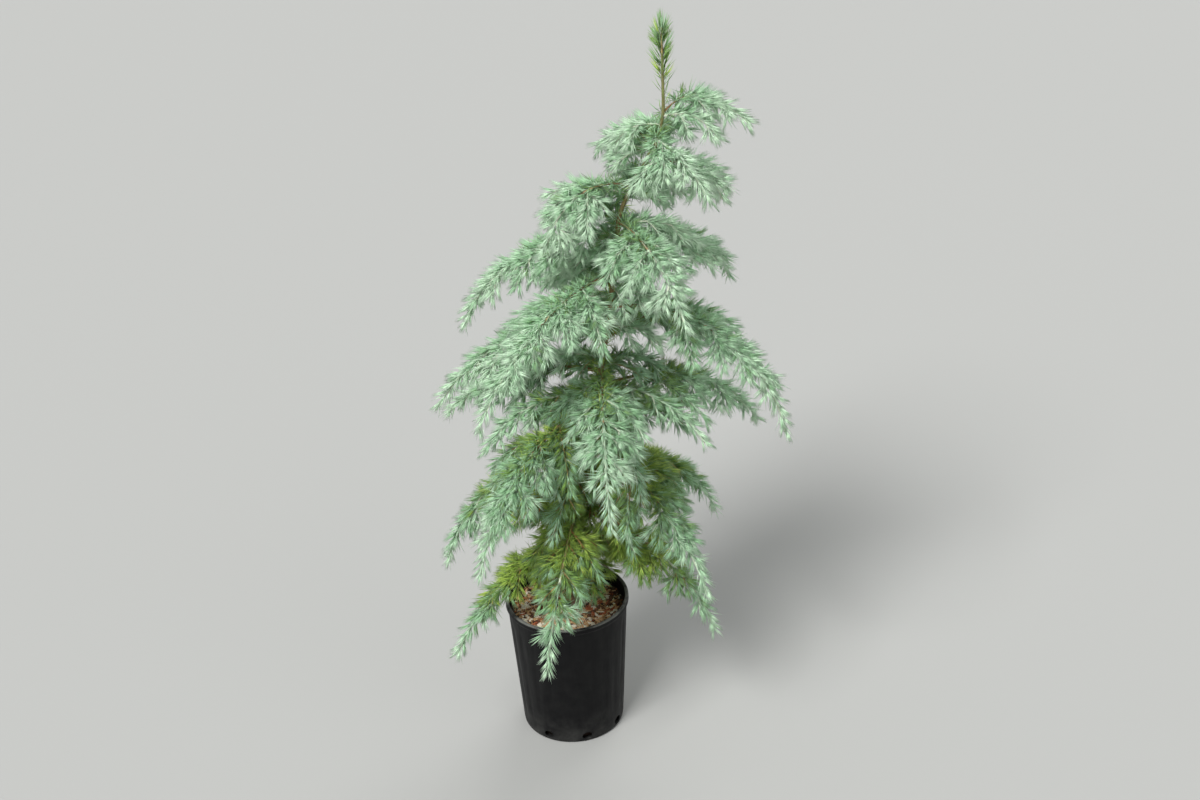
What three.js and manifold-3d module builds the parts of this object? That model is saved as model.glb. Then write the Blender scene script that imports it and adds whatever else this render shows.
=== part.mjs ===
// A young weeping deodar cedar in a round black nursery pot, as an assembly of separate pieces:
// the pot, the bark mix that fills it, the trunk, its boughs and one mass of needled twigs on each bough.
// Units are millimetres and +Z is up. The origin is the middle of the pot's flat underside.
// +X is to the viewer's right, and -Y is the plant's front.
import * as THREE from "three";
import { mergeVertices } from "three/addons/utils/BufferGeometryUtils.js";
import Module from "manifold-3d";

const wasm = await Module();
wasm.setup();

const DEGREE = Math.PI / 180;
const TURN = 2 * Math.PI;
const GAP = 0.3; // between pieces that touch

// The pot: a tapered plastic shell with a rolled lip and drain holes round its lower corner.
const POT = {
  height: 196,
  rimRadius: 82.5,
  baseRadius: 68,
  wall: 2,
  lipHeight: 8,
  lipProud: 2.6,
  lipRound: 1,
  cornerRound: 4,
  sides: 32,
  drainHoles: 8,
  drainRadius: 6,
  drainHeight: 10,
  drainDepth: 12,
};

// The bark mix that fills the pot, a little below the rim.
const MIX = { belowRim: 16, crumb: 2.2, flatRadius: 26, toWall: 0.9, corner: 5, rings: 4, sides: 24 };
const MIX_TOP = POT.height - MIX.belowRim;

// The trunk leans to the right as it rises, kinks above its middle and ends in an upright leader.
const TRUNK = {
  foot: MIX_TOP + GAP,
  top: 956,
  footX: 14,
  lean: 82,
  leanEnds: 0.85,
  kink: 54,
  kinkStarts: 0.72,
  kinkEnds: 0.92,
  wander: 7,
  tipRadius: 1.5,
  footRadius: 6.4,
  taper: 0.85,
  flareRadius: 3,
  flareHeight: 14,
  sides: 8,
  rings: 22,
  closerAtFoot: 1.15,
};

// The boughs stand round the trunk in a spiral, set off outwards and weep towards their tips.
const BOUGH = {
  count: 27,
  lowest: 270,
  highest: 896,
  firstHeading: 73.7 * DEGREE,
  spiral: 137.5 * DEGREE,
  headingSpread: 34 * DEGREE,
  length: 265,
  lengthSpread: 0.34,
  belly: 0.26,
  shortTop: 0.5,
  shortFrom: 0.62,
  lowSlope: -22 * DEGREE,
  highSlope: 32 * DEGREE,
  slopeRise: 0.7,
  slopeSpread: 18 * DEGREE,
  lowFall: -57 * DEGREE,
  highFall: -75 * DEGREE,
  fallSpread: 30 * DEGREE,
  sway: 30 * DEGREE,
  bareShare: 0.17,
  footShare: 0.5,
  tipShare: 0.62,
  step: 22,
  sides: 5,
};

// The twigs of a mass: one main stem that grows on from the bough, with side shoots to left and right.
const TWIG = {
  step: 18,
  stemRadius: 2.1,
  shootShare: 0.8,
  tipRadius: 0.9,
  twist: 38 * DEGREE,
  spacing: 23,
  firstShoot: 0.35,
  shootsEnd: 0.8,
  branchingAngle: 50 * DEGREE,
  angleSpread: 16 * DEGREE,
  longest: 118,
  shortest: 16,
  shortening: 0.6,
  lengthSpread: 0.3,
  leanestLow: 0.66,
  fullAbove: 0.35,
  hang: 0.6,
  hangSlope: -84 * DEGREE,
  fewestStations: 3,
};

// The needles: each stands for a narrow tuft, leans towards the twig's tip and is longest in the middle.
const NEEDLE = {
  length: 44,
  lengthSpread: 0.3,
  least: 0.6,
  lean: 35 * DEGREE,
  halfWidth: 3,
  tuftLength: 34,
  tuftShares: [1, 0.7, 0.4],
  stub: 0.15,
};

// The upright tuft on the tip of the trunk.
const LEADER = { length: 40, step: 11, needleLength: 28, slopes: [88 * DEGREE, 80 * DEGREE] };

// The room that foliage leaves round other pieces.
const TEST_SHARES = [0.25, 0.5, 0.75, 1];
const CLEARANCE = { mass: 1.6, limb: 2.4, pot: 4, insideRim: 12, aboveMix: 8 };

// The seeds of the repeatable numbers that give each branch, twig and needle its own shape.
const SEED = { branch: 20.2873, item: 78.233, kind: 37.719, size: 43758.5453 };
const KIND = { heading: 1, sway: 2, slope: 3, length: 4, angle: 5, shoot: 6, needle: 7, crumb: 8, fall: 9 };
const NEEDLES_PER_TWIG = 40;

const MIX_COLOUR = new THREE.MeshStandardMaterial({ color: 0x6b4630, roughness: 0.95 });
const POT_COLOUR = new THREE.MeshStandardMaterial({ color: 0x131416, roughness: 0.55 });
const BARK_COLOUR = new THREE.MeshStandardMaterial({ color: 0x80604a, roughness: 0.9 });
const NEEDLE_COLOURS = [0xa9c4b4, 0x8fae9f, 0x9bb7a2, 0xb6cdbd].map(
  (color) => new THREE.MeshStandardMaterial({ color, roughness: 0.7 }),
);

// A repeatable number from 0 to 1 for one item on one branch: the fraction of a large sine.
function chance(branch, item, kind) {
  const wave = Math.sin(branch * SEED.branch + item * SEED.item + kind * SEED.kind) * SEED.size;
  return wave - Math.floor(wave);
}

// The same, from -0.5 to 0.5.
function spread(branch, item, kind) {
  return chance(branch, item, kind) - 0.5;
}

function smoothStep(from, to, value) {
  return THREE.MathUtils.smoothstep(value, from, to);
}

function mix(from, to, share) {
  return from + (to - from) * share;
}

// The middle of the trunk at a height.
function trunkPoint(height) {
  const rise = (height - TRUNK.foot) / (TRUNK.top - TRUNK.foot);
  const lean = TRUNK.lean * smoothStep(0, TRUNK.leanEnds, rise);
  const kink = TRUNK.kink * smoothStep(TRUNK.kinkStarts, TRUNK.kinkEnds, rise);
  const back = TRUNK.wander * Math.sin(TURN * rise);
  return new THREE.Vector3(TRUNK.footX + lean + kink, back, height);
}

// The trunk's radius at a height: an even taper, with a root flare at the foot.
function trunkRadius(height) {
  const rise = (height - TRUNK.foot) / (TRUNK.top - TRUNK.foot);
  const flare = TRUNK.flareRadius * Math.exp(-(height - TRUNK.foot) / TRUNK.flareHeight);
  return mix(TRUNK.footRadius, TRUNK.tipRadius, Math.pow(rise, TRUNK.taper)) + flare;
}

// A drooping stem: its slope bends evenly from slopes[0] to slopes[1], and its heading turns by sway.
// Only the stretch between the shares `from` and `to` is walked, and each step takes the direction
// at its middle.
function droopingStem(start, shape, from, to, step) {
  const count = Math.max(1, Math.round(((to - from) * shape.length) / step));
  const stride = ((to - from) * shape.length) / count;
  const stations = [];
  const place = start.clone();
  for (let i = 0; i <= count; i++) {
    const share = mix(from, to, i / count);
    stations.push({ share, place: place.clone(), ...directionsAt(shape, share) });
    place.addScaledVector(directionsAt(shape, share + (0.5 * stride) / shape.length).along, stride);
  }
  return stations;
}

// The directions along a drooping stem, level across it and square to both, at a share of its length.
function directionsAt(shape, share) {
  const slope = mix(shape.slopes[0], shape.slopes[1], share);
  const heading = shape.heading + shape.sway * share;
  const along = new THREE.Vector3(
    Math.cos(slope) * Math.cos(heading),
    Math.cos(slope) * Math.sin(heading),
    Math.sin(slope),
  );
  const across = new THREE.Vector3(-Math.sin(heading), Math.cos(heading), 0);
  return { along, across, square: along.clone().cross(across) };
}

// The course of one branch, from the middle of the trunk to the tip of its foliage.
function branchShape(branch) {
  const rise = (branch + 0.5) / BOUGH.count;
  const height = mix(BOUGH.lowest, BOUGH.highest, rise);
  const belly = 1 - BOUGH.belly * (1 - Math.sin(Math.PI * rise));
  const shortening = 1 - BOUGH.shortTop * smoothStep(BOUGH.shortFrom, 1, rise);
  const slope = mix(BOUGH.lowSlope, BOUGH.highSlope, Math.pow(rise, BOUGH.slopeRise));
  const variation = (kind) => spread(branch, 0, kind);
  const fall = mix(BOUGH.lowFall, BOUGH.highFall, rise) + variation(KIND.fall) * BOUGH.fallSpread;
  return {
    start: trunkPoint(height),
    heading: BOUGH.firstHeading + branch * BOUGH.spiral + variation(KIND.heading) * BOUGH.headingSpread,
    sway: variation(KIND.sway) * BOUGH.sway,
    slopes: [slope + variation(KIND.slope) * BOUGH.slopeSpread, fall],
    length: BOUGH.length * belly * shortening * (1 + variation(KIND.length) * BOUGH.lengthSpread),
    footRadius: BOUGH.footShare * trunkRadius(height),
    fullness: mix(TWIG.leanestLow, 1, smoothStep(0, TWIG.fullAbove, rise)),
  };
}

// The shapes of the side shoots on a main stem: they alternate from side to side, shorten towards the
// tip, hang, and leave the stem's last part bare of shoots. The stem is given by its stations.
function shootShapes(branch, shape, stations) {
  const stemLength = shape.length * (1 - stations[0].share);
  const count = Math.max(2, Math.floor((stemLength * TWIG.shootsEnd) / TWIG.spacing));
  const shapes = [];
  for (let i = 0; i < count; i++) {
    const along = (i + TWIG.firstShoot) / count;
    const place = along * TWIG.shootsEnd * (stations.length - 1);
    const station = stations[Math.max(1, Math.round(place))];
    const side = (i + branch) % 2 ? 1 : -1;
    const angle = TWIG.branchingAngle + spread(branch, i, KIND.angle) * TWIG.angleSpread;
    const away = station.along
      .clone()
      .multiplyScalar(Math.cos(angle))
      .addScaledVector(station.across, side * Math.sin(angle));
    const slope = Math.asin(away.z);
    const variation = shape.fullness * (1 + spread(branch, i, KIND.shoot) * TWIG.lengthSpread);
    shapes.push({
      start: station.place,
      heading: Math.atan2(away.y, away.x),
      sway: 0,
      slopes: [slope, mix(slope, TWIG.hangSlope, TWIG.hang)],
      length: mix(TWIG.longest, TWIG.shortest, Math.pow(along, TWIG.shortening)) * variation,
      radius: TWIG.shootShare * mix(TWIG.stemRadius, TWIG.tipRadius, along),
    });
  }
  return shapes;
}

// A closed three.js geometry from corner points and faces of three corner numbers.
function geometryOf(points, faces) {
  const geometry = new THREE.BufferGeometry().setFromPoints(points);
  return geometry.setIndex(faces.flat());
}

// A solid from a closed geometry, for cutting and joining.
function solidOf(geometry) {
  const bare = geometry.clone();
  bare.deleteAttribute("normal");
  bare.deleteAttribute("uv");
  const merged = mergeVertices(bare, 1e-4);
  return new wasm.Manifold(
    new wasm.Mesh({
      numProp: 3,
      vertProperties: merged.attributes.position.array,
      triVerts: new Uint32Array(merged.index.array),
    }),
  );
}

// The three.js geometry of a solid.
function geometryFrom(solid) {
  const { vertProperties, triVerts } = solid.getMesh();
  const geometry = new THREE.BufferGeometry();
  geometry.setAttribute("position", new THREE.BufferAttribute(vertProperties, 3));
  return geometry.setIndex(new THREE.BufferAttribute(triVerts, 1));
}

// The largest body of a solid within its outer skin: sealed hollows are filled, loose scraps dropped.
function wholeBody(solid) {
  return solid.decompose().reduce((best, body) => (body.volume() > best.volume() ? body : best));
}

// The corner points of one ring round a station, with an optional turn about the stem.
function ringPoints(station, radius, sides, turn) {
  return Array.from({ length: sides }, (_, j) => {
    const angle = turn + (j * TURN) / sides;
    return station.place
      .clone()
      .addScaledVector(station.across, radius * Math.cos(angle))
      .addScaledVector(station.square, radius * Math.sin(angle));
  });
}

// A tapering tube through stations with flat ends; radiusAt gives the radius at a station's number.
function taperingTube(stations, sides, radiusAt) {
  const points = stations.flatMap((station, i) => ringPoints(station, radiusAt(i), sides, 0));
  const faces = [];
  for (let i = 0; i + 1 < stations.length; i++) {
    for (let j = 0; j < sides; j++) {
      const [a, b] = [i * sides + j, i * sides + ((j + 1) % sides)];
      faces.push([a, b, b + sides], [a, b + sides, a + sides]);
    }
  }
  const last = (stations.length - 1) * sides;
  for (let j = 1; j + 1 < sides; j++) {
    faces.push([0, j + 1, j], [last, last + j, last + j + 1]);
  }
  return geometryOf(points, faces);
}

// A three-sided twig with needles: each facet between two rings is drawn out to a point that leans
// towards the tip, or stays flat where `fits` refuses the point. The twig ends in a pointed tuft.
function needledTwig(stations, radii, needleLength, fits) {
  const points = [];
  const faces = [];
  const last = stations.length - 1;
  stations.forEach((station, i) => {
    points.push(...ringPoints(station, mix(radii[0], radii[1], i / last), 3, i * TWIG.twist));
  });
  for (let i = 0; i < last; i++) {
    const middle = stations[i].place.clone().add(stations[i + 1].place).multiplyScalar(0.5);
    for (let j = 0; j < 3; j++) {
      const next = (j + 1) % 3;
      const corners = [i * 3 + j, i * 3 + next, (i + 1) * 3 + next, (i + 1) * 3 + j];
      const seat = corners.reduce((sum, c) => sum.add(points[c]), new THREE.Vector3()).multiplyScalar(0.25);
      const tip = i > 0 && needleTip(seat, middle, stations[i].along, needleLength(i, j), fits);
      if (tip) {
        const peak = points.push(tip) - 1;
        corners.forEach((corner, c) => faces.push([corner, corners[(c + 1) % 4], peak]));
      } else {
        faces.push([corners[0], corners[1], corners[2]], [corners[0], corners[2], corners[3]]);
      }
    }
  }
  const end = stations[last];
  const reach = endReach(end, NEEDLE.tuftLength, fits);
  const peak = points.push(end.place.clone().addScaledVector(end.along, reach)) - 1;
  for (let j = 0; j < 3; j++) {
    faces.push([last * 3 + j, last * 3 + ((j + 1) % 3), peak]);
  }
  faces.push([0, 2, 1]);
  return geometryOf(points, faces);
}

// Where a needle that starts at `seat` ends, or null if there is no room for it even when shortened.
function needleTip(seat, middle, along, length, fits) {
  const out = seat.clone().sub(middle);
  out.addScaledVector(along, -out.dot(along)).normalize();
  const lean = out.multiplyScalar(Math.sin(NEEDLE.lean)).addScaledVector(along, Math.cos(NEEDLE.lean));
  for (const share of [1, NEEDLE.least]) {
    const tip = seat.clone().addScaledVector(lean, length * share);
    if (hasRoom(seat, tip, NEEDLE.halfWidth, fits)) return tip;
  }
  return null;
}

// How far the pointed end of a twig may reach.
function endReach(end, length, fits) {
  const point = (share) => end.place.clone().addScaledVector(end.along, length * share);
  const fit = NEEDLE.tuftShares.find((share) => hasRoom(end.place, point(share), NEEDLE.halfWidth, fits));
  return length * (fit ?? NEEDLE.stub);
}

// Whether a piece that narrows from halfWidth to a point has room on its whole way.
function hasRoom(from, to, halfWidth, fits) {
  return TEST_SHARES.every((share) => fits(from.clone().lerp(to, share), halfWidth * (1 - share)));
}

// The distance from a point to a chain of stations.
function distanceTo(stations, point) {
  let nearest = Infinity;
  const segment = new THREE.Line3();
  const foot = new THREE.Vector3();
  for (let i = 0; i + 1 < stations.length; i++) {
    segment.set(stations[i].place, stations[i + 1].place).closestPointToPoint(point, true, foot);
    nearest = Math.min(nearest, foot.distanceTo(point));
  }
  return nearest;
}

// Whether a point is clear of the pot and of the mix in it.
function clearOfPot(point, halfWidth) {
  const out = Math.hypot(point.x, point.y);
  const above = point.z > POT.height + CLEARANCE.pot + halfWidth;
  const outside = out > POT.rimRadius + CLEARANCE.pot + halfWidth;
  const within = out < POT.rimRadius - CLEARANCE.insideRim && point.z > MIX_TOP + CLEARANCE.aboveMix;
  return above || outside || within;
}

// A shape turned about the Z axis from an outline of radius and height pairs.
function turned(outline, sides) {
  const profile = outline.map(([radius, z]) => new THREE.Vector2(radius, z));
  return new THREE.LatheGeometry(profile, sides).rotateX(Math.PI / 2);
}

// The pot's shell: a wall with a lip and a rounded corner, then the drain holes.
function potGeometry() {
  const { height, rimRadius, baseRadius, wall, lipHeight, lipProud, lipRound, cornerRound } = POT;
  const bodyTop = rimRadius - lipProud;
  const shell = turned(
    [
      [0, 0],
      [baseRadius - cornerRound, 0],
      [baseRadius, cornerRound],
      [bodyTop, height - lipHeight],
      [rimRadius, height - lipHeight + lipRound],
      [rimRadius, height - lipRound],
      [rimRadius - lipRound, height],
      [bodyTop - wall, height],
      [baseRadius - wall, wall + cornerRound],
      [baseRadius - wall - cornerRound, wall],
      [0, wall],
    ],
    POT.sides,
  );
  let solid = solidOf(shell);
  for (let i = 0; i < POT.drainHoles; i++) {
    solid = solid.subtract(solidOf(drainHole(((i + 0.5) * TURN) / POT.drainHoles)));
  }
  return geometryFrom(solid);
}

// One drain hole's cutter: a short eight-sided rod through the pot's wall above the corner, at a heading.
function drainHole(heading) {
  const rod = new THREE.CylinderGeometry(POT.drainRadius, POT.drainRadius, POT.drainDepth, 8);
  rod.rotateZ(Math.PI / 2);
  rod.translate(POT.baseRadius - POT.wall, 0, POT.drainHeight);
  return rod.rotateZ(heading);
}

// The mix: a plug that fills the pot, flat under the trunk and crumbly from there to the wall.
function mixGeometry() {
  const wallTop = POT.rimRadius - POT.lipProud;
  const bore = (z) => mix(POT.baseRadius, wallTop, z / (POT.height - POT.lipHeight)) - POT.wall;
  const radiusAt = (z) => bore(z) - MIX.toWall;
  const floor = POT.wall + GAP;
  const corner = floor + MIX.corner;
  const surface = Array.from({ length: MIX.rings + 1 }, (_, i) => [
    mix(radiusAt(MIX_TOP - MIX.crumb), MIX.flatRadius, i / MIX.rings),
    MIX_TOP,
  ]);
  const side = [[0, floor], [radiusAt(floor) - MIX.corner, floor], [radiusAt(corner), corner]];
  const plug = turned([...side, ...surface, [0, MIX_TOP]], MIX.sides);
  const places = plug.attributes.position;
  const place = new THREE.Vector3();
  for (let i = 0; i < places.count; i++) {
    place.fromBufferAttribute(places, i);
    const crumbly = place.z > MIX_TOP - 1 && Math.hypot(place.x, place.y) > MIX.flatRadius + 1;
    const dip = MIX.crumb * chance(Math.round(place.x), Math.round(place.y), KIND.crumb);
    places.setZ(i, crumbly ? MIX_TOP - dip : place.z);
  }
  return geometryFrom(solidOf(plug));
}

// The trunk as level rings from its flat foot to its tip, made wider by `extra`.
function trunkGeometry(extra) {
  const stations = Array.from({ length: TRUNK.rings + 1 }, (_, i) => {
    const height = mix(TRUNK.foot, TRUNK.top, Math.pow(i / TRUNK.rings, TRUNK.closerAtFoot));
    return {
      place: trunkPoint(height),
      across: new THREE.Vector3(1, 0, 0),
      square: new THREE.Vector3(0, 1, 0),
      height,
    };
  });
  return taperingTube(stations, TRUNK.sides, (i) => trunkRadius(stations[i].height) + extra);
}

const trunkShell = solidOf(trunkGeometry(GAP));

// A bough: a tapering limb from the trunk's bark to where its foliage starts.
function boughGeometry(stations, footRadius) {
  const last = stations.length - 1;
  const limb = taperingTube(stations, BOUGH.sides, (i) => footRadius * mix(1, BOUGH.tipShare, i / last));
  return geometryFrom(solidOf(limb).subtract(trunkShell));
}

// Every branch's bare limb and main stem, worked out first so that each mass can keep to its own space.
const branches = Array.from({ length: BOUGH.count }, (_, branch) => {
  const shape = branchShape(branch);
  const limb = droopingStem(shape.start, shape, 0, BOUGH.bareShare, BOUGH.step);
  const fork = limb[limb.length - 1];
  const start = fork.place.clone().addScaledVector(fork.along, GAP);
  const stem = droopingStem(start, shape, BOUGH.bareShare, 1, TWIG.step);
  return { shape, limb, stem };
});
const trunkLine = Array.from({ length: TRUNK.rings + 1 }, (_, i) => ({
  place: trunkPoint(mix(TRUNK.foot, TRUNK.top, i / TRUNK.rings)),
}));

// Whether a point lies in a mass's own space: nearer to its main stem than to any other, and clear of
// the trunk, of every bough and of the pot. `halfWidth` is the room that the piece needs round the point.
function inOwnSpace(branch, point, halfWidth) {
  const reach = distanceTo(branches[branch].stem, point) + CLEARANCE.mass + halfWidth;
  const margin = CLEARANCE.limb + halfWidth;
  return (
    clearOfPot(point, halfWidth) &&
    distanceTo(trunkLine, point) > TRUNK.footRadius + margin &&
    branches.every(({ stem }, other) => other === branch || distanceTo(stem, point) > reach) &&
    branches.every(({ limb, shape }) => distanceTo(limb, point) > shape.footRadius + margin)
  );
}

// The foliage of one branch: its main stem and side shoots, all needled and fused into one piece.
function foliageGeometry(branch) {
  const { shape, stem } = branches[branch];
  const fits = (point, halfWidth) => inOwnSpace(branch, point, halfWidth);
  const length = (twig) => (i, j) => {
    const needle = twig * NEEDLES_PER_TWIG + i * 3 + j;
    return NEEDLE.length * (1 + spread(branch, needle, KIND.needle) * NEEDLE.lengthSpread);
  };
  let solid = solidOf(needledTwig(stem, [TWIG.stemRadius, TWIG.tipRadius], length(0), fits));
  shootShapes(branch, shape, stem).forEach((shoot, i) => {
    const stations = droopingStem(shoot.start, shoot, 0, 1, TWIG.step);
    const blocked = stations.findIndex((station, n) => n > 0 && !fits(station.place, TWIG.stemRadius));
    const kept = blocked < 0 ? stations : stations.slice(0, blocked);
    if (kept.length < TWIG.fewestStations) return;
    const twig = needledTwig(kept, [shoot.radius, TWIG.tipRadius], length(i + 1), fits);
    solid = solid.add(solidOf(twig));
  });
  return geometryFrom(wholeBody(solid));
}

// The tuft on the trunk's tip: one upright needled twig.
function leaderGeometry() {
  const start = trunkPoint(TRUNK.top);
  start.z += GAP;
  const shape = { length: LEADER.length, heading: 0, sway: 0, slopes: LEADER.slopes };
  const stations = droopingStem(start, shape, 0, 1, LEADER.step);
  const everywhere = () => true;
  return needledTwig(stations, [TRUNK.tipRadius, TWIG.tipRadius], () => LEADER.needleLength, everywhere);
}

const cedar = new THREE.Group();

function addPiece(name, geometry, material) {
  const mesh = new THREE.Mesh(geometry, material);
  mesh.name = name;
  cedar.add(mesh);
}

addPiece("pot", potGeometry(), POT_COLOUR);
addPiece("potting_mix", mixGeometry(), MIX_COLOUR);
addPiece("trunk", trunkGeometry(0), BARK_COLOUR);
branches.forEach(({ shape, limb }, branch) => {
  const number = String(branch + 1).padStart(2, "0");
  addPiece("bough_" + number, boughGeometry(limb, shape.footRadius), BARK_COLOUR);
  addPiece("foliage_" + number, foliageGeometry(branch), NEEDLE_COLOURS[branch % NEEDLE_COLOURS.length]);
});
addPiece("foliage_leader", leaderGeometry(), NEEDLE_COLOURS[0]);

export default cedar;
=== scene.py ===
# A young weeping deodar cedar in a round black nursery pot.
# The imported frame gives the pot, the mix, the trunk, the boughs and the masses of foliage. This script
# gives them their looks: moulded plastic, bark chips, bark, fine twigs and life-size needles.
import math
from functools import partial

import bpy
import numpy as np
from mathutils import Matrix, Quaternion, Vector


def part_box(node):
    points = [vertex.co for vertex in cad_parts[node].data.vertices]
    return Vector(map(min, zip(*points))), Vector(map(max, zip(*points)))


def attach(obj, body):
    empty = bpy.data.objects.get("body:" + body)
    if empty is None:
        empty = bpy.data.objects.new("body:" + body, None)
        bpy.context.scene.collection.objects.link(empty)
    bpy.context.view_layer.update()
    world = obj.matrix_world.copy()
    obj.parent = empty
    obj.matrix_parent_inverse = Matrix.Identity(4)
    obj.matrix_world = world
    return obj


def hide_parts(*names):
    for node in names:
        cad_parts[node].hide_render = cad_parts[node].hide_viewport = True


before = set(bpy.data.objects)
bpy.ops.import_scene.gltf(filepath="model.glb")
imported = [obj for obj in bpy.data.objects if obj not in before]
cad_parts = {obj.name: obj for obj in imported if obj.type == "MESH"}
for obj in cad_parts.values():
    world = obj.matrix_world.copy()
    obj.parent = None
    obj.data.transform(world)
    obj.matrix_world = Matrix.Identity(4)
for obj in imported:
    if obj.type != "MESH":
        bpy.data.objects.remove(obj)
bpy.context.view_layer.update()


# The setting
# The camera stands where the photographer stood, at standing eye height, and looks down at the plant
# through a longer lens. The floor and the light are plain, pale and soft, as in a studio.
DEGREE = math.pi / 180
EYE = (0.356, -2.22, 1.753)
AIM = (0.058, 0.0, 0.497)
LENS = 61.0
CAMERA_ROLL = -2.9 * DEGREE
FLOOR_REACH = 14.0
DAYLIGHT_STRENGTH = 0.4
# Each lamp: where it stands, how wide it looks from the plant, and its strength.
LAMPS = {
    "key": ((-0.9, -2.0, 3.0), 24 * DEGREE, 3.2),
    "fill": ((2.2, -1.6, 2.0), 50 * DEGREE, 0.3),
    "back": ((0.8, 2.3, 2.4), 40 * DEGREE, 1.1),
}


def linear(red, green, blue):
    """The linear colour of an sRGB colour given from 0 to 255."""
    share = np.array([red, green, blue]) / 255.0
    curve = np.where(share <= 0.04045, share / 12.92, ((share + 0.055) / 1.055) ** 2.4)
    return (*curve.tolist(), 1.0)


def feed(tree, node, values):
    """Gives a node's inputs their values, or links them where a value is the output of another node."""
    for name, value in values.items():
        if isinstance(value, bpy.types.NodeSocket):
            tree.links.new(value, node.inputs[name])
        else:
            node.inputs[name].default_value = value


def shader(name, base, roughness):
    """A material with one Principled BSDF: the material, the tree of its nodes, and the shader."""
    material = bpy.data.materials.new(name)
    material.use_nodes = True
    surface = material.node_tree.nodes["Principled BSDF"]
    feed(material.node_tree, surface, {"Base Color": base, "Roughness": roughness})
    return material, material.node_tree, surface


def aimed(place):
    """The turn that makes a camera or a lamp at a place look at the plant."""
    return (Vector(AIM) - Vector(place)).to_track_quat("-Z", "Y")


def add_object(name, data):
    """A new object in the scene."""
    thing = bpy.data.objects.new(name, data)
    bpy.context.scene.collection.objects.link(thing)
    return thing


camera = add_object("camera", bpy.data.cameras.new("camera"))
camera.location = EYE
camera.rotation_euler = (aimed(EYE) @ Quaternion((0, 0, 1), CAMERA_ROLL)).to_euler()
camera.data.lens = LENS
bpy.context.scene.camera = camera
bpy.context.scene.view_settings.view_transform = "Standard"

floor = add_object("floor", bpy.data.meshes.new("floor"))
corners = [(x * FLOOR_REACH, y * FLOOR_REACH, 0) for x, y in ((-1, -1), (1, -1), (1, 1), (-1, 1))]
floor.data.from_pydata(corners, [], [(0, 1, 2, 3)])
floor.data.materials.append(shader("floor", linear(176, 176, 173), roughness=0.9)[0])

world = bpy.data.worlds.new("soft_daylight")
world.use_nodes = True
daylight = {"Color": linear(228, 233, 235), "Strength": DAYLIGHT_STRENGTH}
feed(world.node_tree, world.node_tree.nodes["Background"], daylight)
bpy.context.scene.world = world

for name, (place, width, strength) in LAMPS.items():
    lamp = add_object(name, bpy.data.lights.new(name, "SUN"))
    lamp.data.angle = width
    lamp.data.energy = strength
    lamp.location = place
    lamp.rotation_euler = aimed(place).to_euler()


# The pot
# A blow-moulded pot of black polyethylene with a rolled lip, shallow upright flutes that stiffen its
# wall, a narrow foot and eight drain holes that are cut through the wall just above the foot.
MM = 0.001
TURN = 2 * math.pi
pot_low, pot_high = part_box("pot")
POT_HEIGHT = pot_high.z / MM
RIM_RADIUS = (pot_high.x - pot_low.x) / 2 / MM
BASE_RADIUS = 68.0
POT_WALL = 2.0
LIP_HEIGHT = 8.0
LIP_PROUD = 2.6
LIP_ROUND = 1.612
LIP_UNDERCUT = 0.4
LIP_EDGE_ROUND = 1.1
FOOT_ROUND = 4.0
FOOT_WIDTH = 10.0
FOOT_SLOPE = 2.0
UNDERSIDE_RISE = 1.2
UNDERSIDE_MIDDLE = 20.0
FLUTES = 24
FLUTE_DEPTH = 0.55
FLUTE_FLAT = -0.2
FLUTE_ENDS = (24.0, 176.0)
FLUTE_FADE = 10.0
DRAIN_HOLES = 8
DRAIN_RADIUS = 6.0
DRAIN_STRETCH = 1.15
DRAIN_HEIGHT = 10.0
DRAIN_REACH = (56.0, 80.0)
DRAIN_SIDES = 28
POT_SIDES = 192
DUST_HEIGHT = 50.0
# How far below the rim the painted highlight along the top of the lip starts and ends.
LIP_HIGHLIGHT_DEPTHS = (2.2, 0.6)


def make_mesh(name, vertices, triangles, quads=()):
    """A smooth mesh object from arrays: corner places in millimetres, triangles and four-sided faces."""
    triangles = np.asarray(triangles, dtype=np.int32).reshape(-1, 3)
    quads = np.asarray(quads, dtype=np.int32).reshape(-1, 4)
    corners = np.concatenate([triangles.ravel(), quads.ravel()])
    starts = np.concatenate([np.arange(len(triangles)) * 3, triangles.size + np.arange(len(quads)) * 4])
    mesh = bpy.data.meshes.new(name)
    mesh.vertices.add(len(vertices))
    mesh.vertices.foreach_set("co", (np.asarray(vertices) * MM).astype(np.float32).ravel())
    mesh.loops.add(len(corners))
    mesh.loops.foreach_set("vertex_index", corners)
    mesh.polygons.add(len(starts))
    mesh.polygons.foreach_set("loop_start", starts.astype(np.int32))
    mesh.update(calc_edges=True)
    mesh.validate()
    shade(mesh, True)
    return add_object(name, mesh)


def shade(mesh, smooth):
    """Shades all the faces of a mesh smooth or flat."""
    mesh.polygons.foreach_set("use_smooth", np.full(len(mesh.polygons), smooth))


def finish_piece(piece, material, slot, *nodes):
    """Gives a piece its material, lets it ride on the plant and stand for the named nodes. The slot is not
    used.
    """
    piece.data.materials.clear()
    piece.data.materials.append(material)
    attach(piece, "root")
    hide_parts(*nodes)


def closed_tube(rings):
    """A closed shape from rings of points: four-sided faces between the rings, and each end ring filled
    by a fan of triangles round its middle."""
    rows, sides = rings.shape[:2]
    row, side = np.meshgrid(np.arange(rows - 1) * sides, np.arange(sides), indexing="ij")
    after = (side + 1) % sides
    quads = np.stack([row + side, row + after, row + sides + after, row + sides + side], axis=-1)
    count = rows * sides
    side, after, last = side[0], after[0], count - sides
    caps = np.concatenate([
        np.stack([np.full(sides, count), after, side], axis=-1),
        np.stack([np.full(sides, count + 1), last + side, last + after], axis=-1),
    ])
    middles = rings[[0, -1]].mean(axis=1)
    return np.concatenate([rings.reshape(-1, 3), middles]), caps, quads.reshape(-1, 4)


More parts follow.
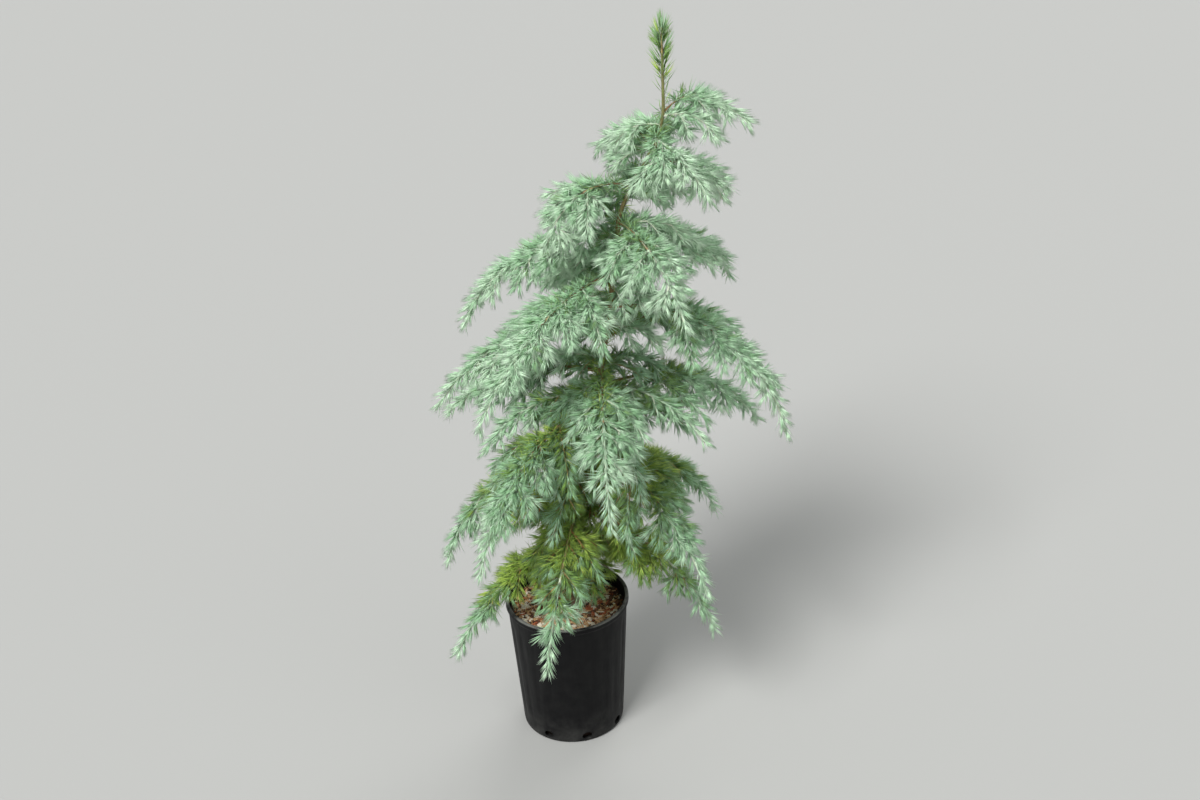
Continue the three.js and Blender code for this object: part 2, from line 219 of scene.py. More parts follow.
def merge_shapes(shapes):
    """One set of vertices, triangles and quads from many, with the corner numbers carried on."""
    starts = np.cumsum([0] + [len(vertices) for vertices, _, _ in shapes[:-1]])
    return (
        np.concatenate([vertices for vertices, _, _ in shapes]),
        np.concatenate([triangles + start for (_, triangles, _), start in zip(shapes, starts)]),
        np.concatenate([quads + start for (_, _, quads), start in zip(shapes, starts)]),
    )


def arc(centre, radius, start, end, steps):
    """Points of a round corner: the centre plus the radius times the cosine and sine of the angle."""
    angle = np.linspace(start, end, steps)
    return np.stack([centre[0] + radius * np.cos(angle), centre[1] + radius * np.sin(angle)], axis=-1)


def wall_radius(height):
    """The wall's outer radius at a height: an even taper from the foot to just under the lip."""
    return BASE_RADIUS + (RIM_RADIUS - LIP_PROUD - BASE_RADIUS) * height / (POT_HEIGHT - LIP_HEIGHT)


def pot_outline():
    """The pot's half section as radius and height: out along the underside, up the outer wall, round
    the lip, down the inner wall and in along the bottom."""
    lip_low = POT_HEIGHT - LIP_HEIGHT
    outer = np.linspace(FOOT_ROUND, lip_low, num=46)[1:]
    inner = np.linspace(lip_low, POT_WALL + FOOT_ROUND, num=24)
    lip = RIM_RADIUS - LIP_ROUND
    edge = RIM_RADIUS - LIP_PROUD - POT_WALL + LIP_EDGE_ROUND
    bottom = POT_WALL + UNDERSIDE_RISE
    return np.concatenate([
        [[UNDERSIDE_MIDDLE, UNDERSIDE_RISE], [BASE_RADIUS - FOOT_WIDTH - FOOT_SLOPE, UNDERSIDE_RISE]],
        [[BASE_RADIUS - FOOT_WIDTH, 0.0], [BASE_RADIUS - FOOT_ROUND, 0.0]],
        arc((BASE_RADIUS - FOOT_ROUND, FOOT_ROUND), FOOT_ROUND, -TURN / 4, 0, steps=6)[1:],
        np.stack([wall_radius(outer), outer], axis=-1),
        arc((lip, lip_low + LIP_ROUND + LIP_UNDERCUT), LIP_ROUND, -TURN / 4, 0, steps=5),
        arc((lip, POT_HEIGHT - LIP_ROUND), LIP_ROUND, 0, TURN / 4, steps=6),
        arc((edge, POT_HEIGHT - LIP_EDGE_ROUND), LIP_EDGE_ROUND, TURN / 4, TURN / 2, steps=5),
        np.stack([wall_radius(inner) - POT_WALL, inner], axis=-1),
        [[BASE_RADIUS - POT_WALL - FOOT_ROUND, bottom], [UNDERSIDE_MIDDLE, bottom]],
    ])


def pot_shell():
    """The outline turned about Z, with shallow cosine flutes that fade out at their two ends taken from
    the outer wall's radius."""
    radius, height = pot_outline().T[..., None]
    angle = np.arange(POT_SIDES) * TURN / POT_SIDES
    fade = np.clip((height - FLUTE_ENDS[0]) / FLUTE_FADE, 0, 1)
    fade = fade * np.clip((FLUTE_ENDS[1] - height) / FLUTE_FADE, 0, 1)
    flute = np.clip(np.cos(angle * FLUTES), FLUTE_FLAT, 1) * fade * FLUTE_DEPTH
    radius = radius - np.where(radius > wall_radius(height) - POT_WALL / 2, flute, 0)
    rings = [radius * np.cos(angle), radius * np.sin(angle), height + 0 * angle]
    return closed_tube(np.stack(rings, axis=-1))


def drain_rod(number):
    """A rod where a drain hole goes: an oval, which is the radius times the cosine sideways and the sine
    upwards, carried outwards through the wall."""
    heading = (number + 0.5) * TURN / DRAIN_HOLES
    out = np.array([math.cos(heading), math.sin(heading), 0.0])
    sideways = np.array([-math.sin(heading), math.cos(heading), 0.0])
    upwards = np.array([0.0, 0.0, 1.0])
    angle = (np.arange(DRAIN_SIDES) * TURN / DRAIN_SIDES)[:, None]
    oval = DRAIN_RADIUS * (DRAIN_STRETCH * sideways * np.cos(angle) + upwards * np.sin(angle))
    return closed_tube(out * np.array(DRAIN_REACH)[:, None, None] + upwards * DRAIN_HEIGHT + oval)


def add_node(tree, kind, values=None, **settings):
    """The outputs of a new shader node of one kind, with its settings and what its inputs are fed."""
    node = tree.nodes.new("ShaderNode" + kind)
    for name, value in settings.items():
        setattr(node, name, value)
    feed(tree, node, values or {})
    return node.outputs


def grain_group():
    """A node group for uneven surfaces: noise on Object coordinates, stretched along Z. It puts out a
    shade, which is a half plus the contrast times what the noise is above a half, and a bumped normal."""
    tree = bpy.data.node_groups.new("grain", "ShaderNodeTree")
    for name in ("Fineness", "Stretch", "Contrast", "Relief"):
        tree.interface.new_socket(name, in_out="INPUT", socket_type="NodeSocketFloat")
    tree.interface.new_socket("Shade", in_out="OUTPUT", socket_type="NodeSocketFloat")
    tree.interface.new_socket("Normal", in_out="OUTPUT", socket_type="NodeSocketVector")
    inside = tree.nodes.new("NodeGroupInput").outputs
    contrast = inside["Contrast"]
    scale = add_node(tree, "CombineXYZ", {"X": 1.0, "Y": 1.0, "Z": inside["Stretch"]})["Vector"]
    place = {0: add_node(tree, "TexCoord")["Object"], 1: scale}
    place = add_node(tree, "VectorMath", place, operation="MULTIPLY")["Vector"]
    noise = {"Vector": place, "Scale": inside["Fineness"], "Detail": 5.0, "Roughness": 0.6}
    noise = add_node(tree, "TexNoise", noise)["Fac"]
    offset = add_node(tree, "Math", {0: contrast, 1: -0.5, 2: 0.5}, operation="MULTIPLY_ADD")["Value"]
    shaded = {0: noise, 1: contrast, 2: offset}
    shaded = add_node(tree, "Math", shaded, operation="MULTIPLY_ADD", use_clamp=True)["Value"]
    bump = add_node(tree, "Bump", {"Strength": 1.0, "Height": shaded, "Distance": inside["Relief"]})
    feed(tree, tree.nodes.new("NodeGroupOutput"), {"Shade": shaded, "Normal": bump["Normal"]})
    return tree


GRAIN = grain_group()


def add_grain(tree, fineness, stretch, contrast, relief):
    """The outputs of one grain node with its own values."""
    values = {"Fineness": fineness, "Stretch": stretch, "Contrast": contrast, "Relief": relief}
    return add_node(tree, "Group", values, node_tree=GRAIN)


def blend_colours(tree, mask, dark, light, **settings):
    """A colour that runs from dark to light with a mask from 0 to 1, or is mixed as the settings say."""
    values = {"Factor": mask, "A": dark, "B": light}
    return add_node(tree, "Mix", values, data_type="RGBA", **settings)["Result"]


def remap(tree, value, low, high, to_low=0.0, to_high=1.0):
    """A value carried from one range to another, and kept inside it."""
    values = {"Value": value, "From Min": low, "From Max": high, "To Min": to_low, "To Max": to_high}
    return add_node(tree, "MapRange", values)["Result"]


def height_on(tree):
    """The height on the plant, in metres."""
    return add_node(tree, "SeparateXYZ", {"Vector": add_node(tree, "TexCoord")["Object"]})["Z"]


def coat(tree, surface, colour, grain, smooth, rough):
    """Gives a surface its colour, and from a grain its normal and a roughness that runs with the shade
    from smooth to rough."""
    roughness = remap(tree, grain["Shade"], 0, 1, smooth, rough)
    feed(tree, surface, {"Base Color": colour, "Roughness": roughness, "Normal": grain["Normal"]})


def pot_plastic():
    """Black polyethylene: dull, with fine upright drawing marks, dust low down, and a grey line along the top
    of the lip that is a painted highlight.
    """
    material, tree, surface = shader("pot_plastic", linear(20, 20, 22), roughness=0.5)
    marks = add_grain(tree, fineness=160.0, stretch=0.12, contrast=1.6, relief=0.00012)
    dust_and_highlight_grain = add_grain(tree, fineness=55.0, stretch=1.0, contrast=2.6, relief=0.00005)
    height = height_on(tree)
    low = remap(tree, height, 0, DUST_HEIGHT * MM, to_low=0.24, to_high=0.03)
    # Painted highlight: a grey line along the top of the lip, broken up by the same grain as the dust low
    # down.
    lip_highlight_heights = ((POT_HEIGHT - below) * MM for below in LIP_HIGHLIGHT_DEPTHS)
    lip = remap(tree, height, *lip_highlight_heights, to_low=0, to_high=1.5)
    where = add_node(tree, "Math", {0: low, 1: lip}, operation="ADD")["Value"]
    dust_and_highlight = add_node(tree, "Math", {0: where, 1: dust_and_highlight_grain["Shade"]}, operation="MULTIPLY")["Value"]
    colour = blend_colours(tree, dust_and_highlight, linear(9, 9, 11), linear(112, 112, 108))
    coat(tree, surface, colour, marks, smooth=0.42, rough=0.68)
    feed(tree, surface, {"Specular IOR Level": 0.16})
    return material


pot = make_mesh("pot_shell", *pot_shell())
rods = make_mesh("drain_rods", *merge_shapes([drain_rod(number) for number in range(DRAIN_HOLES)]))
cut = pot.modifiers.new("drain_holes", "BOOLEAN")
cut.operation = "DIFFERENCE"
cut.solver = "EXACT"
cut.object = rods
bpy.context.view_layer.update()
holed = bpy.data.meshes.new_from_object(pot.evaluated_get(bpy.context.evaluated_depsgraph_get()))
pot.modifiers.clear()
pot.data = holed
bpy.data.objects.remove(rods)
shade(pot.data, True)
finish_piece(pot, pot_plastic(), "pot_plastic", "pot")


# The potting mix
# Composted bark that fills the pot to a finger below the rim: a crumbly plug, and on it chips of
# red-brown, tan and weathered pale bark, with dry needles that have dropped from the plant. The pale and
# tan chips gather towards the front and the dark ones towards the back, as painted sunlight and shade.
MIX_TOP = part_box("potting_mix")[1].z / MM
MIX_FLOOR = POT_WALL + 1.6
MIX_FLAT_RADIUS = 26.0
MIX_FADE = 12.0
MIX_SETTLED = 0.2
MIX_GAP = 0.5
MIX_SIDES = 160
MIX_MIDDLE = 2.0
MIX_SKIRT = 8.0
MIX_SKIRT_GAP = 0.4
MIX_FOOT_GAP = 6.0
CRUMB_DEPTH = 2.6
CRUMB_DEEPEST = 1.1
CRUMB_LEAST = 0.15
# Each set of waves on the mix: its share of the crumb's depth, its size and its seed.
CRUMB_WAVES = ((0.28, 31.0, 1), (0.26, 11.0, 2), (0.24, 5.3, 3))
CHIP_SPREAD = 0.4
CHIP_LENGTHS = (0.5, 2.4)
CHIP_THICKNESS = (1.7, 0.5)
CHIP_THICKNESSES = (0.6, 3.0)
CHIP_PITCH = 0.34
CHIP_ROLL = 0.42
CHIP_LEVEL_FROM = 4.0
CHIP_EVEN_FROM = 5.0
CHIP_SUNK = (-0.1, 0.55)
CHIP_WALL_GAP = 1.5
CHIP_NEAREST = 0.03
CHIP_SIDES = 6
CHIP_TAPER = 0.86
CHIP_UNEVENNESS = (0.72, 1.12)
# Each kind: how many, half their length, how slim they are, how far they gather at the front (painted
# sunlight for the pale ones, shade for the dark ones that are pushed back), two tones.
CHIPS = {
    "flakes_red": (400, 3.6, (0.2, 0.6), -0.6, linear(132, 64, 38), linear(206, 120, 78)),
    "flakes_brown": (480, 3.6, (0.16, 0.6), -0.3, linear(74, 46, 32), linear(142, 94, 64)),
    "flakes_tan": (560, 4.6, (0.14, 0.46), 0.4, linear(176, 130, 88), linear(240, 200, 152)),
    "flakes_pale": (400, 3.8, (0.28, 0.66), 0.8, linear(206, 188, 158), linear(255, 250, 236)),
    "dropped_needles": (170, 10.5, (0.045, 0.06), 0.0, linear(150, 112, 66), linear(198, 160, 104)),
}
rng = np.random.default_rng(20)


def ripple(x, y, size, seed):
    """Smooth unevenness from -1 to 1: the mean of four sine waves that run in different directions."""
    waves = np.arange(4)
    heading = seed * 1.7 + waves * 2.399
    pitch = TURN / size * (1 + 0.37 * waves)
    along = x[..., None] * np.cos(heading) + y[..., None] * np.sin(heading)
    return np.sin(along * pitch + seed * 3.1 + waves).mean(axis=-1)


def mix_surface(x, y):
    """The height of the mix: its top less a crumbly dip, half its depth plus the waves, that fades out
    under the trunk."""
    away = np.clip((np.hypot(x, y) - MIX_FLAT_RADIUS) / MIX_FADE, 0, 1)
    crumb = 0.5 + sum(share * ripple(x, y, size, seed) for share, size, seed in CRUMB_WAVES)
    depth = CRUMB_DEPTH * (CRUMB_LEAST + (1 - CRUMB_LEAST) * away)
    return MIX_TOP - MIX_SETTLED - depth * np.clip(crumb, 0, CRUMB_DEEPEST)


def mix_plug():
    """A closed plug: the flat bottom's ring, the side, and rings of points on the crumbly surface."""
    bore = wall_radius(MIX_TOP) - POT_WALL - MIX_GAP
    side = [MIX_MIDDLE, BASE_RADIUS - POT_WALL - MIX_FOOT_GAP, bore - MIX_SKIRT_GAP]
    radius = np.concatenate([side, np.linspace(bore, MIX_MIDDLE, num=44)])[:, None]
    angle = np.arange(MIX_SIDES) * TURN / MIX_SIDES
    x, y = radius * np.cos(angle), radius * np.sin(angle)
    z = mix_surface(x, y)
    z[:2] = MIX_FLOOR
    z[2] = MIX_TOP - MIX_SKIRT
    return closed_tube(np.stack([x, y, z], axis=-1))


def tilted_axes(yaw, pitch, roll):
    """The length, width and height directions of flat bodies that are turned by yaw about Z, and then
    tilted by pitch along their length and by roll across it."""
    length = np.stack([np.cos(yaw) * np.cos(pitch), np.sin(yaw) * np.cos(pitch), -np.sin(pitch)], axis=-1)
    level = np.stack([-np.sin(yaw), np.cos(yaw), 0 * yaw], axis=-1)
    width = level * np.cos(roll)[:, None] + np.cross(length, level) * np.sin(roll)[:, None]
    return length, width, np.cross(length, width)


def chips(count, half_length, slimness, lit_front_pull):
    """Chips strewn on the mix, a little tilted and half sunk: each is a ring of uneven corners, the
    length times the cosine and the width times the sine, carried up to a slightly smaller ring."""
    spread = CHIP_SPREAD * min(1, CHIP_EVEN_FROM / half_length)
    length = half_length * np.clip(rng.lognormal(0, spread, count), *CHIP_LENGTHS)
    width = length * rng.uniform(*slimness, count)
    thick = np.minimum(np.clip(rng.normal(*CHIP_THICKNESS, count), *CHIP_THICKNESSES), width)
    farthest = wall_radius(MIX_TOP) - POT_WALL - CHIP_WALL_GAP - length
    far = np.sqrt(rng.uniform(CHIP_NEAREST, 1.0, count)) * farthest
    where = rng.uniform(0, TURN, count)
    # Painted light: pale chips are drawn to the front as sunlight falls there, dark ones to the back as
    # shade.
    where = where - lit_front_pull * np.cos(where)
    x, y = far * np.cos(where), far * np.sin(where)
    centre = np.stack([x, y, mix_surface(x, y) + thick * rng.uniform(*CHIP_SUNK, count)], axis=-1)
    yaw = rng.uniform(0, TURN, count)
    pitch = rng.normal(0, CHIP_PITCH, count) * np.minimum(1, CHIP_LEVEL_FROM / length)
    axes = tilted_axes(yaw, pitch, rng.normal(0, CHIP_ROLL, count))
    angle = np.arange(CHIP_SIDES) * TURN / CHIP_SIDES
    uneven = rng.uniform(*CHIP_UNEVENNESS, (count, CHIP_SIDES))
    lengthwise = axes[0][:, None] * (length[:, None] * np.cos(angle) * uneven)[..., None]
    ring = lengthwise + axes[1][:, None] * (width[:, None] * np.sin(angle) * uneven)[..., None]
    up = (axes[2] * thick[:, None] / 2)[:, None]
    vertices = centre[:, None] + np.concatenate([ring - up, ring * CHIP_TAPER + up], axis=1)
    side = np.arange(CHIP_SIDES)
    after = (side + 1) % CHIP_SIDES
    quads = np.stack([side, after, after + CHIP_SIDES, side + CHIP_SIDES], axis=-1)
    fan = np.stack([0 * side, side, after], axis=-1)[1:-1]
    lids = np.concatenate([fan[:, ::-1], fan + CHIP_SIDES])
    start = (np.arange(count) * 2 * CHIP_SIDES)[:, None, None]
    return vertices.reshape(-1, 3), (lids + start).reshape(-1, 3), (quads + start).reshape(-1, 4)


def bark_mix(name, dark, light, fineness):
    """Moist bark: two tones broken up by a coarse grain, rough, with a pitted surface."""
    material, tree, surface = shader(name, light, roughness=0.85)
    grain = add_grain(tree, fineness, stretch=1.0, contrast=1.9, relief=0.0006)
    colour = blend_colours(tree, grain["Shade"], dark, light)
    coat(tree, surface, colour, grain, smooth=0.95, rough=0.7)
    return material


plug = make_mesh("potting_mix_plug", *mix_plug())
crumb_material = bark_mix("mix_crumb", linear(26, 19, 15), linear(92, 64, 46), fineness=240.0)
finish_piece(plug, crumb_material, "bark_mix", "potting_mix")
for name, (count, half_length, slimness, lit_front_pull, dark, light) in CHIPS.items():
    piece = make_mesh(name, *chips(count, half_length, slimness, lit_front_pull))
    shade(piece.data, False)
    finish_piece(piece, bark_mix(name, dark, light, fineness=420.0), "bark_mix", "potting_mix")


# The trunk
# One slender stem, whole from its flared foot in the mix to the green tip of its leader. Its thin bark
# is fissured and grey-brown low down, orange-brown above, and still green on the last year's growth.
TRUNK_FOOT = MIX_TOP + 0.3
TRUNK_TOP = 956.0
TRUNK_FOOT_X = 14.0
TRUNK_LEAN = 82.0
TRUNK_LEAN_ENDS = 0.85
TRUNK_KINK = 54.0
TRUNK_KINK_STARTS = 0.72
TRUNK_KINK_ENDS = 0.92
TRUNK_WANDER = 7.0
TRUNK_FOOT_RADIUS = 6.4
TRUNK_TIP_RADIUS = 1.5
TRUNK_TAPER = 0.85
TRUNK_FLARE = 3.0
TRUNK_FLARE_HEIGHT = 14.0
TRUNK_STEP = 1.6
FISSURE, CRACK, CUSHION = 0.05, 0.04, 0.04
CUSHION_SPACING = 4.6
BARK_TONE_HEIGHTS = (0.17, 0.95)
BARK_MIDDLE_TONE = 0.45
# How strongly the creases are darkened: partly the bark's own fissure tone, partly painted shade.
FISSURE_AND_SHADE_STRENGTH = 0.75


def smooth_step(low, high, value):
    """0 below low, 1 above high, and an even S-curve between."""
    share = np.clip((value - low) / (high - low), 0, 1)
    return share * share * (3 - 2 * share)


def trunk_point(height):
    """The middle of the trunk at a height: an even lean, a late kink and a slight sway to the back."""
    rise = (height - TRUNK_FOOT) / (TRUNK_TOP - TRUNK_FOOT)
    lean = TRUNK_LEAN * smooth_step(0, TRUNK_LEAN_ENDS, rise)
    kink = TRUNK_KINK * smooth_step(TRUNK_KINK_STARTS, TRUNK_KINK_ENDS, rise)
    return np.stack([TRUNK_FOOT_X + lean + kink, TRUNK_WANDER * np.sin(TURN * rise), height], axis=-1)


def trunk_radius(height):
    """The trunk's radius at a height: an even taper, with a root flare at the foot."""
    rise = (height - TRUNK_FOOT) / (TRUNK_TOP - TRUNK_FOOT)
    flare = TRUNK_FLARE * np.exp(-(height - TRUNK_FOOT) / TRUNK_FLARE_HEIGHT)
    return TRUNK_FOOT_RADIUS + (TRUNK_TIP_RADIUS - TRUNK_FOOT_RADIUS) * rise**TRUNK_TAPER + flare


def upright_line(heights):
    """Level stations on the middle of the trunk, and straight up above its top."""
    place = trunk_point(np.minimum(heights, TRUNK_TOP))
    place[:, 2] = heights
    axes = np.zeros((3, len(heights), 3)) + np.eye(3)[:, None]
    line = dict(zip(("across", "square", "along"), axes))
    return {**line, "place": place, "length": heights[-1] - heights[0]}


def bark_relief(angle, along, radius):
    """How far the bark stands out: upright fissures and finer cracks from crossed sines, and low needle
    cushions in a spiral, all in proportion to the radius."""
    fissures = np.sin(angle * 7 + 2.1 * np.sin(along / 23)) * np.sin(along / 9 + 2 * np.sin(angle * 3))
    cracks = np.sin(angle * 13 + along / 14) * np.sin(along / 5.1 - angle * 4)
    cushions = np.cos(along * TURN / CUSHION_SPACING - angle * 2) * np.cos(angle * 5 + along / 3)
    return radius * (FISSURE * fissures + CRACK * cracks + CUSHION * np.clip(cushions, 0, 1))


def limb(line, along, radius, sides):
    """A closed limb on a line of stations: at each, the radius with the bark's relief times the cosine
    and the sine of the angle, in the two directions across the line."""
    angle = np.arange(sides) * TURN / sides
    out = radius[:, None] + bark_relief(angle, along[:, None], radius[:, None])
    rings = line["place"][:, None] + line["across"][:, None] * (out * np.cos(angle))[..., None]
    return closed_tube(rings + line["square"][:, None] * (out * np.sin(angle))[..., None])


def bark(name, low, middle, high, fissure_tone_and_shade):
    """Thin bark: its colour runs with height through three tones, and is darker where its grain dips, partly
    the bark's own tone in its fissures and partly painted shade.
    """
    material, tree, surface = shader(name, middle, roughness=0.8)
    grain = add_grain(tree, fineness=900.0, stretch=0.3, contrast=1.8, relief=0.0004)
    ramp = tree.nodes.new("ShaderNodeValToRGB")
    ramp.color_ramp.elements[0].color = low
    ramp.color_ramp.elements[1].color = high
    ramp.color_ramp.elements.new(BARK_MIDDLE_TONE).color = middle
    feed(tree, ramp, {"Fac": remap(tree, height_on(tree), *BARK_TONE_HEIGHTS)})
    # Darker where the grain dips: the fissures' own tone and painted shade in them.
    fissure_and_shade = blend_colours(tree, grain["Shade"], fissure_tone_and_shade, linear(255, 250, 245))
    colour = blend_colours(tree, FISSURE_AND_SHADE_STRENGTH, ramp.outputs["Color"], fissure_and_shade, blend_type="MULTIPLY")
    coat(tree, surface, colour, grain, smooth=0.92, rough=0.68)
    return material


heights = np.arange(TRUNK_FOOT, TRUNK_TOP + TRUNK_STEP / 2, TRUNK_STEP)
heights[-1] = TRUNK_TOP
trunk_shape = limb(upright_line(heights), heights, trunk_radius(heights), sides=40)
trunk_tones = (linear(158, 136, 112), linear(176, 138, 98), linear(150, 154, 98))
# The last tone darkens the creases, partly as the bark's own colour and partly as painted shade.
trunk_bark = bark("trunk_bark", *trunk_tones, linear(92, 84, 80))
finish_piece(make_mesh("trunk_bark", *trunk_shape), trunk_bark, "bark", "trunk")


# The boughs
# Twenty-seven limbs in a spiral round the trunk. Each sets off outwards, droops towards its tip, and
# carries its foliage on its outer part. The bark is tan, and the newest growth wears a whitish down.
BOUGH_COUNT = 27
BOUGH_LOWEST = 270.0
BOUGH_HIGHEST = 896.0
FIRST_HEADING = 73.7 * DEGREE
SPIRAL = 137.5 * DEGREE
HEADING_SPREAD = 34 * DEGREE
BOUGH_LENGTH = 265.0
BOUGH_LENGTH_SPREAD = 0.34
BOUGH_BELLY = 0.26
SHORT_TOP = 0.5
SHORT_FROM = 0.62
# The slopes of the lowest and the highest bough: SLOPES at the foot, FALLS at the tip.
SLOPES = (-22 * DEGREE, 32 * DEGREE)
SLOPE_RISE = 0.7
SLOPE_SPREAD = 18 * DEGREE
FALLS = (-57 * DEGREE, -75 * DEGREE)
FALL_SPREAD = 30 * DEGREE
BOUGH_SWAY = 30 * DEGREE
BARE_SHARE = 0.17
FORK_GAP = 0.3
# How long the shoots are on the lowest bough, how long above, and above which share of the crown.
FULLNESS = (0.66, 1.0, 0.35)
FOOT_SHARE = 0.5
STEM_TIP_RADIUS = 1.0
STEM_STEP = 18.0
LIMB_STEP = 22.0
FINE_STEP = 2.6
BOUGH_TAPER = 1.15
COLLAR, COLLAR_REACH = 0.5, 6.0
BARK_SHIFT = 37.0
OVERLAP = 0.012
# What a chance is for, and the factors that turn a branch, an item and that into the chance.
HEADING, SWAY, SLOPE, LENGTH, ANGLE, SHOOT, FALL = 1, 2, 3, 4, 5, 6, 9
BRANCH_SEED, ITEM_SEED, KIND_SEED, LARGE = 20.2873, 78.233, 37.719, 43758.5453
# Each age of wood: its stretch as shares of a bough's length, its tone, and the darker tone of its creases,
# partly painted shade.
BOUGH_AGES = {
    "bough_old_wood": (0.0, 0.36, linear(172, 134, 90), linear(112, 108, 102)),
    "bough_young_wood": (0.36, 0.52, linear(208, 178, 136), linear(130, 122, 112)),
    "bough_new_wood": (0.52, 1.0, linear(234, 242, 224), linear(196, 200, 188)),
}


def chance(branch, item, kind):
    """A repeatable number from 0 to 1 for one item on one branch: the fraction of a large sine."""
    wave = math.sin(branch * BRANCH_SEED + item * ITEM_SEED + kind * KIND_SEED) * LARGE
    return wave - math.floor(wave)


def spread(branch, item, kind):
    """The same, from -0.5 to 0.5."""
    return chance(branch, item, kind) - 0.5


def between(low, high, share):
    """The value at a share of the way from low to high."""
    return low + (high - low) * share


def rising(rise, low, high, above):
    """A value that runs in an S-curve from low, at the foot of the crown, to high above a share of it."""
    return between(low, high, smooth_step(0, above, rise))


def directions(course, share):
    """Unit vectors along a drooping stem, level across it and square to both: the slope and heading
    change evenly with the share of its length."""
    slope = between(*course["slopes"], share)
    heading = course["heading"] + course["sway"] * share
    level = np.cos(slope)
    along = np.stack([level * np.cos(heading), level * np.sin(heading), np.sin(slope)], axis=-1)
    across = np.stack([-np.sin(heading), np.cos(heading), 0 * heading], axis=-1)
    return along, across, np.cross(along, across)


def drooping_line(course, first, last, step):
    """Stations on a stem: the start plus the running sum of steps, each in the direction at its middle."""
    span = (last - first) * course["length"]
    count = max(1, math.floor(span / step + 0.5))
    share = np.linspace(first, last, count + 1)
    middle = share[:-1] + 0.5 * (last - first) / count
    strides = directions(course, middle)[0] * span / count
    place = course["start"] + np.concatenate([np.zeros((1, 3)), np.cumsum(strides, axis=0)])
    line = dict(zip(("along", "across", "square"), directions(course, share)))
    return {**line, "share": share, "place": place, "length": span}


def bough_course(number):
    """The course of one bough, from the middle of the trunk to the tip of its foliage."""
    rise = (number + 0.5) / BOUGH_COUNT
    height = between(BOUGH_LOWEST, BOUGH_HIGHEST, rise)
    belly = 1 - BOUGH_BELLY * (1 - math.sin(math.pi * rise))
    shortening = 1 - SHORT_TOP * smooth_step(SHORT_FROM, 1, rise)
    variation = 1 + spread(number, 0, LENGTH) * BOUGH_LENGTH_SPREAD
    slope = between(*SLOPES, rise**SLOPE_RISE) + spread(number, 0, SLOPE) * SLOPE_SPREAD
    return {
        "start": trunk_point(height),
        "heading": FIRST_HEADING + number * SPIRAL + spread(number, 0, HEADING) * HEADING_SPREAD,
        "sway": spread(number, 0, SWAY) * BOUGH_SWAY,
        "slopes": (slope, between(*FALLS, rise) + spread(number, 0, FALL) * FALL_SPREAD),
        "length": BOUGH_LENGTH * belly * shortening * variation,
        "foot_radius": FOOT_SHARE * trunk_radius(height),
        "fullness": rising(rise, *FULLNESS),
        "rise": rise,
    }


def bough_stretch(number, course, first, last):
    """A stretch of a bough and of the main stem that grows on from it: a limb that tapers to the tip,
    with a collar at the trunk that fades out as an exponential."""
    line = drooping_line(course, 0, 1, FINE_STEP)
    chosen = (line["share"] >= first - OVERLAP) & (line["share"] <= last + OVERLAP)
    line = {key: line[key][chosen] for key in ("share", "place", "across", "square")}
    reach = line["share"] * course["length"]
    radius = between(STEM_TIP_RADIUS, course["foot_radius"], (1 - line["share"]) ** BOUGH_TAPER)
    collar = COLLAR * course["foot_radius"] * np.exp(-reach / COLLAR_REACH)
    return limb(line, reach + number * BARK_SHIFT, radius + collar, sides=12)


branches = []
for number in range(BOUGH_COUNT):
    course = bough_course(number)
    bare = drooping_line(course, 0, BARE_SHARE, LIMB_STEP)
    fork = {**course, "start": bare["place"][-1] + bare["along"][-1] * FORK_GAP}
    branches.append((course, bare, fork, drooping_line(fork, BARE_SHARE, 1, STEM_STEP)))
bough_nodes = [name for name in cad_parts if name.startswith("bough_")]
for name, (first, last, tone, fissure_tone_and_shade) in BOUGH_AGES.items():
    stretches = [bough_stretch(number, branch[0], first, last) for number, branch in enumerate(branches)]
    piece = make_mesh(name, *merge_shapes(stretches))
    finish_piece(piece, bark(name, tone, tone, tone, fissure_tone_and_shade), "bark", *bough_nodes)


# The twigs
# Side shoots leave each main stem to left and right, shorten towards its tip and hang. Shorter ones
# stand between them, and both carry still finer ones. New twigs are whitish with down, old ones tan.
SHOOT_SPACING = 23.0
SHOOTS_END = 0.8
BRANCHING_ANGLE = 50 * DEGREE
ANGLE_SPREAD = 16 * DEGREE
SHOOT_SHORTENING = 0.6
SHOOT_LENGTH_SPREAD = 0.3
SHOOT_HANG = 0.6
HANG_SLOPE = -84 * DEGREE
# Each order of shoots: where the first and the last stand, the longest and shortest length, the radius,
# the least length that is kept, and its own chances.
SIDE_SHOOTS = (0.35, SHOOTS_END, 118.0, 16.0, 1.3, 16.0, 0)
SHOOTS_BETWEEN = (0.85, SHOOTS_END, 80.0, 14.0, 1.1, 16.0, 10)
FINER_SHOOTS = (0.5, 0.6, 38.0, 18.0, 0.8, 12.0, 30)
INNER_SHOOTS = (0.4, 0.85, 56.0, 14.0, 0.9, 16.0, 50)
FINER_SPACING = 24.0
FINER_SEED = 31
FINER_YOUNGER = 0.3
TWIG_SPACE = 2.1
MASS_CLEARANCE = 1.6
LIMB_CLEARANCE = 2.4
